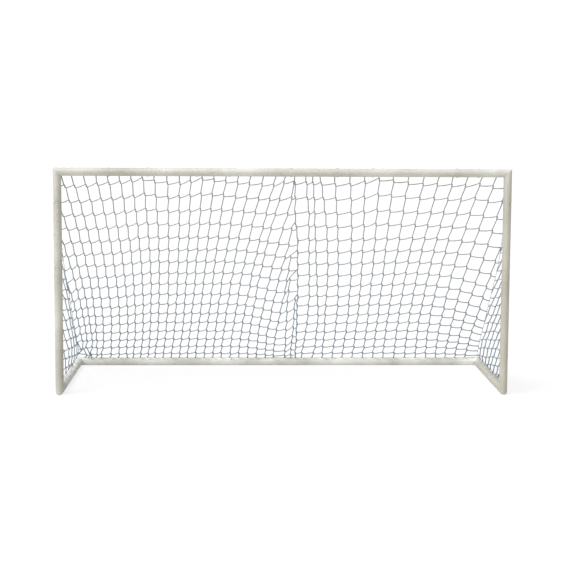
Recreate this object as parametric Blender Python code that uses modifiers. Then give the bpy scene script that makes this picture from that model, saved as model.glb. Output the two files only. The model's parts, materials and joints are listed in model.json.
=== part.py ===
"""Free-standing training goal, 12 ft by 6 ft: a frame of PVC tube with mitred corner fittings, tube couplers,
sprung locking buttons, snap-on net clips and a cord net.

Metres, +Z up. X runs along the crossbar, the mouth faces -Y, and the ground is at Z = 0.
"""

import math

import bmesh
import bpy
from mathutils import Matrix, Vector

# Driving dimensions: the goal
MOUTH_WIDTH = 3.658
MOUTH_HEIGHT = 1.829
BASE_DEPTH = 1.200

# Tube
TUBE_DIAMETER = 0.068
TUBE_WALL = 0.0025
TUBE_SIDES = 16

# Corner fittings and couplers
ARM_LENGTH = 0.240
SPIGOT_LENGTH = 0.100
SPIGOT_WALL = 0.003
COLLAR_WIDTH = 0.004

# Locking buttons
BUTTON_DIAMETER = 0.011
BUTTON_HOLE_CLEARANCE = 0.0004
BUTTON_PROUD = 0.003
BUTTON_DOME = 0.0018
BUTTON_FLANGE_DIAMETER = 0.016
BUTTON_FLANGE_THICKNESS = 0.002
BUTTON_INSET = 0.050
BUTTON_SIDES = 10
DOME_STEPS = 3

# Net clips
CLIP_WALL = 0.0025
CLIP_WIDTH = 0.014
CLIP_WRAP = math.radians(200)
CLIP_STEPS = 12
HOOK_WALL = 0.0022
HOOK_TIP = math.radians(60)
HOOK_STEPS = 6

# Net
CORD_THICKNESS = 0.006
NET_SAG = 0.180
NET_COLUMNS = 19
NET_ROWS = 9

# Where the clips sit, in meshes of the net from the middle of the goal or from the crossbar
CLIP_PAST_CORD = 0.25
BAR_CLIP_COLUMNS = {"inner": 2 + CLIP_PAST_CORD, "outer": 7 + CLIP_PAST_CORD}
POST_CLIP_ROWS = {"lower": 5 + CLIP_PAST_CORD, "upper": 2 + CLIP_PAST_CORD}
SIDE_CLIP_ROW = 5 + CLIP_PAST_CORD

# Clearances between touching pieces
SEAT = 0.0003
CORD_CLEARANCE = 0.0004

# Fineness of the meshes: points within MERGE are one, and a point within ON_LINE of a line is on it
MERGE = 1e-6
ON_LINE = 1e-4
ROUND_SIDE = math.radians(35)
ROUND_CORD = math.radians(100)

# Worked out from the above
TUBE_RADIUS = TUBE_DIAMETER / 2
BORE_RADIUS = TUBE_RADIUS - TUBE_WALL
SPIGOT_RADIUS = BORE_RADIUS - SEAT
SPIGOT_BORE = SPIGOT_RADIUS - SPIGOT_WALL
FLAT_ANGLE = math.pi / TUBE_SIDES
CORNER_REACH = 1 / math.cos(FLAT_ANGLE)

POST_X = MOUTH_WIDTH / 2 + TUBE_RADIUS
CROSSBAR_Z = MOUTH_HEIGHT + TUBE_RADIUS
GROUND_Z = TUBE_RADIUS

CLIP_INNER = TUBE_RADIUS * CORNER_REACH + SEAT
CLIP_OUTER = CLIP_INNER / math.cos(CLIP_WRAP / CLIP_STEPS / 2) + CLIP_WALL
CORD_RADIUS = CORD_THICKNESS / 2
CORD_HOLD = CLIP_OUTER + CORD_CLEARANCE + CORD_RADIUS
HOOK_RADIUS = CORD_RADIUS + CORD_CLEARANCE
DIAGONAL = math.sqrt(0.5)

BUTTON_RADIUS = BUTTON_DIAMETER / 2
BUTTON_HOLE = BUTTON_RADIUS + BUTTON_HOLE_CLEARANCE

# The net's edges: behind the crossbar, and 45 degrees outside the posts, side bars and rear bar
NET_TOP = Vector((0, CORD_HOLD, CROSSBAR_Z))
NET_FOOT = Vector((0, BASE_DEPTH + CORD_HOLD * DIAGONAL, GROUND_Z + CORD_HOLD * DIAGONAL))
SIDE_NET_X = POST_X + CORD_HOLD * DIAGONAL
SIDE_NET_FRONT = CORD_HOLD * DIAGONAL
BACK_NET_HALF = SIDE_NET_X - CORD_THICKNESS - SEAT

X = Vector((1, 0, 0))
Y = Vector((0, 1, 0))
Z = Vector((0, 0, 1))
ENDS = (("left", -1), ("right", 1))


# Scene and materials

def clear_scene():
    for obj in list(bpy.data.objects):
        bpy.data.objects.remove(obj)


def plastic(name, colour, roughness):
    material = bpy.data.materials.new(name)
    material.use_nodes = True
    shader = material.node_tree.nodes["Principled BSDF"]
    shader.inputs["Base Color"].default_value = (*colour, 1)
    shader.inputs["Roughness"].default_value = roughness
    shader.inputs["Metallic"].default_value = 0
    return material


clear_scene()
PARTS = bpy.data.collections.new("pvc_goal")
CUTTERS = bpy.data.collections.new("cutters")
bpy.context.scene.collection.children.link(PARTS)
bpy.context.scene.collection.children.link(CUTTERS)

TUBE_PVC = plastic("tube_pvc", (0.61, 0.60, 0.53), 0.38)
FITTING_PVC = plastic("fitting_pvc", (0.60, 0.59, 0.52), 0.42)
CLIP_NYLON = plastic("clip_nylon", (0.66, 0.66, 0.62), 0.45)
BUTTON_NYLON = plastic("button_nylon", (0.55, 0.55, 0.50), 0.40)
NET_CORD = plastic("net_cord", (0.70, 0.72, 0.74), 0.80)

# Everything hangs on one empty, so that the origin can be put under the middle of the goal
GOAL = bpy.data.objects.new("goal_origin", None)
PARTS.objects.link(GOAL)


# Making and placing

def frame_matrix(place, x_axis, z_axis):
    """Local X and Z point along two square directions, from a place on the goal."""
    y_axis = z_axis.cross(x_axis)
    turn = Matrix((x_axis, y_axis, z_axis)).transposed()
    return Matrix.Translation(place) @ turn.to_4x4()


def add_part(name, mesh, material, place):
    """One sub-part, hung on the goal's empty."""
    obj = bpy.data.objects.new(name, mesh)
    PARTS.objects.link(obj)
    if not mesh.materials:
        mesh.materials.append(material)
    obj.parent = GOAL
    obj.matrix_local = place
    return obj


def baked(obj):
    """The mesh that an object's modifiers make, with the object and its cutters removed."""
    bpy.context.view_layer.update()
    evaluated = obj.evaluated_get(bpy.context.evaluated_depsgraph_get())
    mesh = bpy.data.meshes.new_from_object(evaluated)
    cutters = [m.object for m in obj.modifiers if m.type == "BOOLEAN"]
    for old in [obj, *cutters]:
        bpy.data.objects.remove(old)
    return mesh


def tidy(mesh, edge_angle=ROUND_SIDE):
    """Points merged, faces outwards, round sides shaded smooth."""
    bm = bmesh.new()
    bm.from_mesh(mesh)
    bmesh.ops.remove_doubles(bm, verts=bm.verts, dist=MERGE)
    bmesh.ops.recalc_face_normals(bm, faces=bm.faces)
    bm.to_mesh(mesh)
    bm.free()
    mesh.shade_smooth()
    mesh.set_sharp_from_angle(angle=edge_angle)
    return mesh


def turned(name, profile, sides, closed=True):
    """Turn a profile of (radius, height) points about Z. Its flats lie at the stated radius and face X and Y."""
    reach = 1 / math.cos(math.pi / sides)
    mesh = bpy.data.meshes.new(name)
    bm = bmesh.new()
    points = [bm.verts.new((radius * reach, 0, height)) for radius, height in profile]
    ends = points[1:] + points[:1] if closed else points[1:]
    for a, b in zip(points, ends):
        bm.edges.new((a, b))
    bm.to_mesh(mesh)
    bm.free()
    obj = bpy.data.objects.new(name, mesh)
    PARTS.objects.link(obj)
    screw = obj.modifiers.new("turn", "SCREW")
    screw.axis = "Z"
    screw.angle = math.tau
    screw.steps = sides
    screw.render_steps = sides
    screw.use_merge_vertices = True
    screw.merge_threshold = MERGE
    solid = baked(obj)
    solid.transform(Matrix.Rotation(math.pi / sides, 4, "Z"))
    return tidy(solid)


def drilled(mesh, holes):
    """Cut button holes through one wall. A hole is a place on the axis, the way along it and the way out."""
    if not holes:
        return mesh
    body = bpy.data.objects.new("drilled", mesh)
    PARTS.objects.link(body)
    radius = BUTTON_HOLE / math.cos(math.pi / BUTTON_SIDES)
    half_step = Matrix.Rotation(math.pi / BUTTON_SIDES, 4, "Z")
    bm = bmesh.new()
    for place, along, outwards in holes:
        bmesh.ops.create_cone(
            bm, cap_ends=True, segments=BUTTON_SIDES, radius1=radius, radius2=radius, depth=TUBE_RADIUS,
            matrix=frame_matrix(place + outwards * TUBE_RADIUS, along, outwards) @ half_step,
        )
    cutter_mesh = bpy.data.meshes.new("button_holes")
    bm.to_mesh(cutter_mesh)
    bm.free()
    cutter = bpy.data.objects.new("button_holes", cutter_mesh)
    cutter.hide_render = True
    cutter.display_type = "WIRE"
    CUTTERS.objects.link(cutter)
    cut = body.modifiers.new("holes", "BOOLEAN")
    cut.operation = "DIFFERENCE"
    cut.solver = "EXACT"
    cut.object = cutter
    return tidy(baked(body))


# Tubes, with local Z along the tube

def tube_mesh(name, length, holes):
    profile = [
        (TUBE_RADIUS, length),
        (TUBE_RADIUS, 0),
        (BORE_RADIUS, 0),
        (BORE_RADIUS, length),
    ]
    return drilled(turned(name, profile, TUBE_SIDES), holes)


def run_of_tubes(names, shoulders, along, side, holes):
    """Equal tubes in a row, from one fitting's shoulder to the next, with a coupler's collar between them.

    Each entry of holes lists (end, direction) for a tube, with end 0 at its start and 1 at its far end.
    The middles of the collars come back.
    """
    span = (shoulders[1] - shoulders[0]).length
    length = (span - COLLAR_WIDTH * (len(names) - 1)) / len(names) - 2 * SEAT
    collars = []
    for index, name in enumerate(names):
        foot = shoulders[0] + along * (index * (length + 2 * SEAT + COLLAR_WIDTH) + SEAT)
        place = frame_matrix(foot, side, along)
        turn = place.to_3x3().inverted()
        drills = []
        for end, direction in holes[index]:
            height = length + SEAT - BUTTON_INSET if end else BUTTON_INSET - SEAT
            drills.append((Z * height, Z, turn @ direction))
        add_part(name, tube_mesh(name, length, drills), TUBE_PVC, place)
        if index:
            collars.append(foot - along * (SEAT + COLLAR_WIDTH / 2))
    return collars


# Mitred corner fittings, with local X and Y along the arms and the buttons on local Z

def corner_mesh():
    overrun = 2 * TUBE_RADIUS
    end = ARM_LENGTH + SPIGOT_LENGTH
    profile = [
        (TUBE_RADIUS, ARM_LENGTH),
        (TUBE_RADIUS, -overrun),
        (SPIGOT_BORE, -overrun),
        (SPIGOT_BORE, end),
        (SPIGOT_RADIUS, end),
        (SPIGOT_RADIUS, ARM_LENGTH),
    ]
    mesh = turned("corner", profile, TUBE_SIDES)
    bm = bmesh.new()
    bm.from_mesh(mesh)
    # One arm along X, turned so that the mitre plane is square to X, then cut and mirrored there
    to_arm = Matrix.Rotation(math.radians(90), 4, "Y")
    to_mitre = Matrix.Rotation(math.radians(45), 4, "Z")
    bmesh.ops.transform(bm, verts=bm.verts, matrix=to_mitre @ to_arm)
    bmesh.ops.bisect_plane(
        bm, geom=bm.verts[:] + bm.edges[:] + bm.faces[:], dist=MERGE,
        plane_co=(0, 0, 0), plane_no=(1, 0, 0), clear_inner=True,
    )
    bmesh.ops.mirror(bm, geom=bm.verts[:] + bm.edges[:] + bm.faces[:], axis="X", merge_dist=MERGE)
    bmesh.ops.transform(bm, verts=bm.verts, matrix=to_mitre.inverted())
    bm.to_mesh(mesh)
    bm.free()
    tidy(mesh)
    reach = ARM_LENGTH + BUTTON_INSET
    return drilled(mesh, [(X * reach, X, Z), (Y * reach, Y, Z)])


def add_corner(name, place, arm_a, arm_b):
    add_part(name, CORNER, FITTING_PVC, frame_matrix(place, arm_a, arm_a.cross(arm_b)))


# Couplers, with local Z along the tubes and the button on local X

def coupler_mesh():
    half = COLLAR_WIDTH / 2
    end = half + SPIGOT_LENGTH
    profile = [
        (SPIGOT_BORE, -end),
        (SPIGOT_BORE, end),
        (SPIGOT_RADIUS, end),
        (SPIGOT_RADIUS, half),
        (TUBE_RADIUS, half),
        (TUBE_RADIUS, -half),
        (SPIGOT_RADIUS, -half),
        (SPIGOT_RADIUS, -end),
    ]
    mesh = turned("coupler", profile, TUBE_SIDES)
    return drilled(mesh, [(Z * (half + BUTTON_INSET), Z, X)])


# Locking buttons, with local Z out of the tube and the origin on the tube's axis

def button_mesh():
    """A domed pin with a flange, which seats just inside the spigot's bore, down its sloping sides."""
    top = TUBE_RADIUS + BUTTON_PROUD
    flange = BUTTON_FLANGE_DIAMETER / 2
    past_flat = max(flange - SPIGOT_BORE * math.tan(FLAT_ANGLE), 0)
    seat = SPIGOT_BORE - past_flat * math.tan(2 * FLAT_ANGLE) - SEAT
    shares = [step / DOME_STEPS for step in range(DOME_STEPS + 1)]
    dome = [(BUTTON_RADIUS * share, top - BUTTON_DOME * share ** 2) for share in shares]
    profile = dome + [
        (BUTTON_RADIUS, seat),
        (flange, seat),
        (flange, seat - BUTTON_FLANGE_THICKNESS),
        (0, seat - BUTTON_FLANGE_THICKNESS),
    ]
    return turned("button", profile, BUTTON_SIDES, closed=False)


def add_button(name, place, outwards, along):
    add_part(name, BUTTON, BUTTON_NYLON, frame_matrix(place, along, outwards))


# Net clips, with local Z along the tube, local X towards the cord and the hook open towards local Y

def arc(centre_x, radius, first, last, steps):
    points = []
    for index in range(steps + 1):
        angle = first + (last - first) * index / steps
        points.append((centre_x + radius * math.cos(angle), radius * math.sin(angle)))
    return points


def clip_mesh():
    half_wrap = CLIP_WRAP / 2
    inner = CLIP_OUTER - CLIP_WALL
    hook_outer = HOOK_RADIUS + HOOK_WALL
    stem_low = -math.asin(hook_outer / CLIP_OUTER)
    stem_high = -math.asin(HOOK_RADIUS / CLIP_OUTER)
    outline = arc(0, inner, half_wrap, -half_wrap, CLIP_STEPS)
    outline += arc(0, CLIP_OUTER, -half_wrap, stem_low, CLIP_STEPS // 2)
    outline += arc(CORD_HOLD, hook_outer, -math.pi / 2, HOOK_TIP, HOOK_STEPS)
    outline += arc(CORD_HOLD, HOOK_RADIUS, HOOK_TIP, -math.pi / 2, HOOK_STEPS)
    outline += arc(0, CLIP_OUTER, stem_high, half_wrap, CLIP_STEPS // 2)
    curve = bpy.data.curves.new("clip", "CURVE")
    curve.dimensions = "2D"
    curve.fill_mode = "BOTH"
    curve.extrude = CLIP_WIDTH / 2
    spline = curve.splines.new("POLY")
    spline.points.add(len(outline) - 1)
    for point, (x, y) in zip(spline.points, outline):
        point.co = (x, y, 0, 1)
    spline.use_cyclic_u = True
    obj = bpy.data.objects.new("clip", curve)
    PARTS.objects.link(obj)
    return tidy(baked(obj))


def add_clip(name, place, towards_cord, hook_open):
    add_part(name, CLIP, CLIP_NYLON, frame_matrix(place, towards_cord, towards_cord.cross(hook_open)))


# Net, on the curve that it hangs in

def hang(share):
    """A point of the net's fall from the crossbar to the rear bar, as a share of its length.

    The fall is an arc of a circle that sags below the straight line by NET_SAG.
    """
    chord = NET_FOOT - NET_TOP
    half = chord.length / 2
    half_turn = 2 * math.atan(NET_SAG / half)
    radius = half / math.sin(half_turn)
    along = chord.normalized()
    below = along.cross(X)
    centre = (NET_TOP + NET_FOOT) / 2 - below * radius * math.cos(half_turn)
    angle = half_turn * (2 * share - 1)
    return centre + along * radius * math.sin(angle) + below * radius * math.cos(angle)


def cords(name, bm):
    """Turn the edges of a sheet of faces into cords."""
    mesh = bpy.data.meshes.new(name)
    bm.to_mesh(mesh)
    bm.free()
    obj = bpy.data.objects.new(name, mesh)
    PARTS.objects.link(obj)
    wire = obj.modifiers.new("cords", "WIREFRAME")
    wire.thickness = CORD_THICKNESS
    wire.offset = 0
    wire.use_even_offset = True
    wire.use_boundary = True
    wire.use_replace = True
    return tidy(baked(obj), ROUND_CORD)


def back_net_mesh():
    """Square mesh across the goal's width, every second cord of the real net."""
    bm = bmesh.new()
    bmesh.ops.create_grid(bm, x_segments=NET_COLUMNS, y_segments=NET_ROWS, size=0.5)
    for vert in bm.verts:
        fall = hang(0.5 - vert.co.y)
        vert.co = Vector((2 * vert.co.x * BACK_NET_HALF, fall.y, fall.z))
    return cords("net_back", bm)


def side_net_mesh():
    """Half a grid, cut along its diagonal, whose long edge follows the back net's edge knot for knot."""
    bm = bmesh.new()
    bmesh.ops.create_grid(bm, x_segments=NET_ROWS, y_segments=NET_ROWS, size=0.5)

    def beyond_diagonal(point):
        return point.x + point.y

    for face in bm.faces[:]:
        if abs(beyond_diagonal(face.calc_center_median())) < ON_LINE:
            pair = [v for v in face.verts if abs(beyond_diagonal(v.co)) < ON_LINE]
            bmesh.utils.face_split(face, pair[0], pair[1])
    beyond = [f for f in bm.faces if beyond_diagonal(f.calc_center_median()) > ON_LINE]
    bmesh.ops.delete(bm, geom=beyond, context="FACES")
    for vert in bm.verts:
        column = vert.co.x + 0.5
        y = SIDE_NET_FRONT if column < ON_LINE else hang(column).y
        vert.co = Vector((0, y, hang(0.5 - vert.co.y).z))
    return cords("net_side", bm)


# Building the goal

LEFT = -POST_X
RIGHT = POST_X
CROSSBAR = (Vector((LEFT + ARM_LENGTH, 0, CROSSBAR_Z)), Vector((RIGHT - ARM_LENGTH, 0, CROSSBAR_Z)))
REAR_BAR = (
    Vector((LEFT + ARM_LENGTH, BASE_DEPTH, GROUND_Z)),
    Vector((RIGHT - ARM_LENGTH, BASE_DEPTH, GROUND_Z)),
)
CORNER = corner_mesh()
COUPLER = coupler_mesh()
BUTTON = button_mesh()
CLIP = clip_mesh()


def add_button_on_arm(name, corner, arm, outwards):
    add_button(name, corner + arm * (ARM_LENGTH + BUTTON_INSET), outwards, arm)


def add_coupler(name, collar, towards_button, outwards):
    add_part(name, COUPLER, FITTING_PVC, frame_matrix(collar, outwards, towards_button))
    place = collar + towards_button * (COLLAR_WIDTH / 2 + BUTTON_INSET)
    add_button("button_" + name, place, outwards, towards_button)


def add_long_bar(name, shoulders, outwards):
    """A bar of three tubes. The couplers are fast in the middle tube, and their buttons lock the outer ones."""
    names = [name + "_tube_left", name + "_tube_middle", name + "_tube_right"]
    locked = [(0, outwards), (1, outwards)]
    collars = run_of_tubes(names, shoulders, X, X.cross(outwards), [locked, [], locked])
    for (side, sign), collar in zip(ENDS, collars):
        add_coupler(f"{name}_coupler_{side}", collar, X * sign, outwards)


def add_side(side, sign):
    """The post, the ground bar and their corners at one end of the goal, with sign -1 at the left."""
    out = X * sign
    top = Vector((POST_X * sign, 0, CROSSBAR_Z))
    foot = Vector((POST_X * sign, 0, GROUND_Z))
    rear = Vector((POST_X * sign, BASE_DEPTH, GROUND_Z))
    corners = (
        ("top", top, {"bar": -out, "post": -Z}, Y),
        ("foot", foot, {"post": Z, "side": Y}, out),
        ("rear", rear, {"side": -Y, "bar": -out}, Z),
    )
    for label, place, arms, outwards in corners:
        first, second = arms.values()
        if first.cross(second).dot(outwards) < 0:
            first, second = second, first
        add_corner(f"corner_{label}_{side}", place, first, second)
        for bar, arm in arms.items():
            add_button_on_arm(f"button_{label}_{side}_{bar}", place, arm, outwards)
    post = (foot + Z * ARM_LENGTH, top - Z * ARM_LENGTH)
    names = [f"post_tube_lower_{side}", f"post_tube_upper_{side}"]
    collars = run_of_tubes(names, post, Z, Y, [[(0, out)], [(0, out), (1, Y)]])
    add_coupler(f"post_coupler_{side}", collars[0], Z, out)
    ground = (foot + Y * ARM_LENGTH, rear - Y * ARM_LENGTH)
    run_of_tubes([f"side_tube_{side}"], ground, Y, Z, [[(0, out), (1, Z)]])


def add_clips():
    """Clips sit between two cords of the net, clear of those that start at the edge that they hold."""
    column = 2 * BACK_NET_HALF / NET_COLUMNS
    for side, sign in ENDS:
        out = X * sign
        for label, columns in BAR_CLIP_COLUMNS.items():
            x = sign * columns * column
            add_clip(f"clip_crossbar_{label}_{side}", Vector((x, 0, CROSSBAR_Z)), Y, Z)
            add_clip(
                f"clip_rear_{label}_{side}", Vector((x, BASE_DEPTH, GROUND_Z)),
                (Y + Z) * DIAGONAL, (Y - Z) * DIAGONAL,
            )
        for label, row in POST_CLIP_ROWS.items():
            height = hang(row / NET_ROWS).z
            add_clip(
                f"clip_post_{label}_{side}", Vector((POST_X * sign, 0, height)),
                (out + Y) * DIAGONAL, (out - Y) * DIAGONAL,
            )
        depth = hang(SIDE_CLIP_ROW / NET_ROWS).y
        add_clip(
            f"clip_side_{side}", Vector((POST_X * sign, depth, GROUND_Z)),
            (out + Z) * DIAGONAL, (out - Z) * DIAGONAL,
        )


def add_nets():
    add_part("net_back", back_net_mesh(), NET_CORD, Matrix.Identity(4))
    mesh = side_net_mesh()
    for side, sign in ENDS:
        add_part(f"net_{side}", mesh, NET_CORD, Matrix.Translation(X * SIDE_NET_X * sign))


def centre_footprint():
    """Put the origin on the ground under the middle of the goal's box."""
    bpy.context.view_layer.update()
    depths = [(o.matrix_world @ v.co).y for o in PARTS.objects if o.type == "MESH" for v in o.data.vertices]
    GOAL.location.y = -(min(depths) + max(depths)) / 2


add_long_bar("crossbar", CROSSBAR, Y)
add_long_bar("rear", REAR_BAR, Z)
for side, sign in ENDS:
    add_side(side, sign)
add_clips()
add_nets()
centre_footprint()
bpy.context.view_layer.update()
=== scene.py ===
# %% [markdown]
# # A PVC training goal
#
# This lesson dresses a free-standing goal: a frame of white PVC tube with mitred corners, and a cord
# net that falls in a curve from the crossbar to a bar on the ground. The frame's sizes come from the
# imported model, which is loaded first, so that each piece lands where the real one is fastened. Lengths
# are in metres, +Z is up, the crossbar runs along X and the mouth of the goal faces -Y.

import json
import math
import random

import bmesh
import bpy
from mathutils import Matrix, Vector


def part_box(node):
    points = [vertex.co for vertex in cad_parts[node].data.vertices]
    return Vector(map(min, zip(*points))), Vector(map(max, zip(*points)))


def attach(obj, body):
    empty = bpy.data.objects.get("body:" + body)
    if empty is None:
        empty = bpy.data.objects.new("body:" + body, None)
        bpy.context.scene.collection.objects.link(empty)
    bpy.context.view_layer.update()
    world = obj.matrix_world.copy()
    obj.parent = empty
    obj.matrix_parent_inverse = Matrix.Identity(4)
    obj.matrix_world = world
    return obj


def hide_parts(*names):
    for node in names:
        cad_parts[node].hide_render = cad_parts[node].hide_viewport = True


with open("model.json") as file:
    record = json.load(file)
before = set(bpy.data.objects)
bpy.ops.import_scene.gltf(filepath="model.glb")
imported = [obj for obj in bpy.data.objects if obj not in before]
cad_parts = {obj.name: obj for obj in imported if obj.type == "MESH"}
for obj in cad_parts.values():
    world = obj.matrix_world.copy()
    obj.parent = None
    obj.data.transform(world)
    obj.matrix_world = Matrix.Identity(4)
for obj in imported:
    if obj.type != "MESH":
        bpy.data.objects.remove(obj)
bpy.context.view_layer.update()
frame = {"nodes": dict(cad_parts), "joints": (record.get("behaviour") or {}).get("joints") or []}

# %% [markdown]
# ## The lines that the goal is drawn on
#
# Every tube of the frame lies on one of a few lines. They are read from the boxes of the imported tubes,
# so that nothing here repeats a size that the frame already holds.

# %% Read the goal's main lines
X = Vector((1, 0, 0))
Y = Vector((0, 1, 0))
Z = Vector((0, 0, 1))
ENDS = (("left", -1), ("right", 1))


def middle(node):
    low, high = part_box(node)
    return (low + high) / 2


def extent(node):
    low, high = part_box(node)
    return high - low


TUBE_RADIUS = extent("crossbar_tube_middle").z / 2
CROSSBAR = middle("crossbar_tube_middle")
REAR_BAR = middle("rear_tube_middle")
POST_X = middle("side_tube_right").x
GROUND_Z = REAR_BAR.z
print("tube radius", round(TUBE_RADIUS, 4), "posts at", round(POST_X, 4))
print("crossbar", [round(v, 4) for v in CROSSBAR], "rear bar", [round(v, 4) for v in REAR_BAR])

# %% [markdown]
# ## The camera
#
# The photograph was taken from in front of the goal, a little left of its middle, at about the height
# of the crossbar plus a raised arm. The lens is long, because both posts look nearly upright. The
# picture was cut out lower than where the lens pointed, which is what a small vertical shift does.

# %% Set up the camera
PICTURE_SIDE = 561
FOCAL_PIXELS = 1220.2
SENSOR = 36
CAMERA_FROM_CROSSBAR = Vector((-0.298, -10.072, 0.482))
YAW = 0.0273
PITCH = 0.0973
ROLL = 0.0050
OPTICAL_AXIS_ROW = 232.96
NEAREST = 0.1
FARTHEST = 200


def add_object(name, data):
    obj = bpy.data.objects.new(name, data)
    bpy.context.scene.collection.objects.link(obj)
    return obj


def add_camera():
    data = bpy.data.cameras.new("camera")
    data.sensor_width = SENSOR
    data.lens = SENSOR * FOCAL_PIXELS / PICTURE_SIDE
    data.shift_y = (OPTICAL_AXIS_ROW - PICTURE_SIDE / 2) / PICTURE_SIDE
    data.clip_start = NEAREST
    data.clip_end = FARTHEST
    camera = add_object("camera", data)
    forward = Vector((math.sin(YAW) * math.cos(PITCH), math.cos(YAW) * math.cos(PITCH), -math.sin(PITCH)))
    level = Vector((math.cos(YAW), -math.sin(YAW), 0))
    up = level.cross(forward)
    right = level * math.cos(ROLL) + up * math.sin(ROLL)
    up = right.cross(forward)
    turn = Matrix((right, up, -forward)).transposed()
    camera.matrix_world = Matrix.Translation(CROSSBAR + CAMERA_FROM_CROSSBAR) @ turn.to_4x4()
    bpy.context.scene.camera = camera
    print("lens", round(data.lens, 2), "mm, shift", round(data.shift_y, 4))


add_camera()

# %% [markdown]
# ## Helpers for shader nodes
#
# The sky and the finishes are small trees of shader nodes. An input of a node is either set to a value
# or joined to an output of another node, so one function does both. The others add the few nodes that
# come again and again.

# %% Add and join nodes
NOISE_ROUGHNESS = 0.55


def join(tree, node, inputs):
    """Set each input of a node to a value, or join it to an output."""
    for socket, value in inputs.items():
        if isinstance(value, bpy.types.NodeSocket):
            tree.links.new(value, node.inputs[socket])
        else:
            node.inputs[socket].default_value = value


def add_node(tree, kind, inputs=None, **settings):
    node = tree.nodes.new("ShaderNode" + kind)
    for name, value in settings.items():
        setattr(node, name, value)
    join(tree, node, inputs or {})
    return node


def add_coordinate(tree, space, axis):
    """One coordinate of the shaded place."""
    place = add_node(tree, "TexCoord").outputs[space]
    return add_node(tree, "SeparateXYZ", {"Vector": place}).outputs[axis]


def add_noise(tree, scale, detail, stretch=(1, 1, 1)):
    """Noise on Object coordinates, stretched by scaling its axes."""
    place = add_node(tree, "TexCoord").outputs["Object"]
    mapped = add_node(tree, "Mapping", {"Vector": place, "Scale": stretch}).outputs["Vector"]
    inputs = {"Vector": mapped, "Scale": scale, "Detail": detail, "Roughness": NOISE_ROUGHNESS}
    return add_node(tree, "TexNoise", inputs).outputs["Fac"]


def add_range(tree, value, low, high, to_low, to_high):
    """Map a value from one range to another, held at the ends."""
    inputs = {"Value": value, "From Min": low, "From Max": high, "To Min": to_low, "To Max": to_high}
    return add_node(tree, "MapRange", inputs, clamp=True).outputs["Result"]


def add_mix(tree, share, first, second):
    """Mix two colours, each a colour or an output."""
    first, second = ((*colour, 1) if isinstance(colour, tuple) else colour for colour in (first, second))
    inputs = {"Factor": share, "A": first, "B": second}
    return add_node(tree, "Mix", inputs, data_type="RGBA").outputs["Result"]


def add_bump(tree, height, distance, strength, **more):
    inputs = {"Height": height, "Distance": distance, "Strength": strength, **more}
    return add_node(tree, "Bump", inputs).outputs["Normal"]


# %% [markdown]
# ## Light and background
#
# White plastic is read by its soft shading, so the light is soft: a white sky all round that is
# stronger on the left, a broad key light from the upper left and a fill from the front. Both lamps are
# suns with a wide disc, so that they are as strong at one post as at the other. Camera rays and
# mirrored rays see the sky as plain white, which gives the white background without putting more light
# on the goal.

# %% Set up the sky and the lamps
WHITE = (1, 1, 1, 1)
SKY_LIGHT = (0.36, 0.24)
LAMPS = {
    "key": (2.55, math.radians(35), (-0.42, -0.16, 0.90)),
    "fill": (1.25, math.radians(60), (-0.46, -0.72, 0.52)),
}


def add_sky():
    world = bpy.data.worlds.new("sky")
    world.use_nodes = True
    tree = world.node_tree
    tree.nodes.clear()
    rays = add_node(tree, "LightPath").outputs
    seen = rays["Is Camera Ray"]
    for ray in ("Is Glossy Ray", "Is Transmission Ray"):
        seen = add_node(tree, "Math", {0: seen, 1: rays[ray]}, operation="MAXIMUM").outputs[0]
    strength = add_range(tree, add_coordinate(tree, "Generated", "X"), -1, 1, *SKY_LIGHT)
    lighting = add_node(tree, "Background", {"Color": WHITE, "Strength": strength}).outputs[0]
    backdrop = add_node(tree, "Background", {"Color": WHITE, "Strength": 1}).outputs[0]
    either = add_node(tree, "MixShader", {0: seen, 1: lighting, 2: backdrop}).outputs[0]
    add_node(tree, "OutputWorld", {"Surface": either})
    bpy.context.scene.world = world


def add_lamp(name, energy, breadth, comes_from):
    data = bpy.data.lights.new(name, "SUN")
    data.energy = energy
    data.angle = breadth
    add_object(name, data).rotation_euler = (-Vector(comes_from)).to_track_quat("-Z", "Y").to_euler()


add_sky()
for name, lamp in LAMPS.items():
    add_lamp(name, *lamp)
bpy.context.scene.view_settings.view_transform = "Standard"
print("sky", SKY_LIGHT, "lamps", len(LAMPS))

# %% [markdown]
# ## Helpers for meshes and pieces
#
# A turned piece is an outline spun about Z. A finished piece is an object at the origin, with its place
# baked into its mesh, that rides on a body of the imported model. Most stand for a node of it.

# %% Turn, soften and finish
ROUND_STEPS = 64
MERGE = 1e-6
SHARP = math.radians(32)
SMOOTH_BELOW = math.radians(8)


def turned(profile, closed=True):
    """Spin an outline of (radius, height) points about Z."""
    bm = bmesh.new()
    points = [bm.verts.new((radius, 0, height)) for radius, height in profile]
    ends = points[1:] + points[:1] if closed else points[1:]
    edges = [bm.edges.new(pair) for pair in zip(points, ends)]
    bmesh.ops.spin(
        bm, geom=points + edges, cent=(0, 0, 0), axis=(0, 0, 1), dvec=(0, 0, 0),
        angle=math.tau, steps=ROUND_STEPS, use_merge=True,
    )
    bmesh.ops.remove_doubles(bm, verts=bm.verts, dist=MERGE)
    bmesh.ops.recalc_face_normals(bm, faces=bm.faces)
    return bm


def round_off(bm, edges, width, segments):
    bmesh.ops.bevel(
        bm, geom=edges, offset=width, offset_type="OFFSET", segments=segments, profile=0.5,
        affect="EDGES", clamp_overlap=True, material=-1,
    )


def soften(bm, width, angle=SHARP):
    """Round off the sharp edges of a mesh."""
    sharp = [e for e in bm.edges if len(e.link_faces) == 2 and e.calc_face_angle() > angle]
    round_off(bm, sharp, width, 2)


def to_mesh(bm, name):
    mesh = bpy.data.meshes.new(name)
    bm.to_mesh(mesh)
    bm.free()
    mesh.shade_smooth()
    mesh.set_sharp_from_angle(angle=SMOOTH_BELOW)
    return mesh


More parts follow.
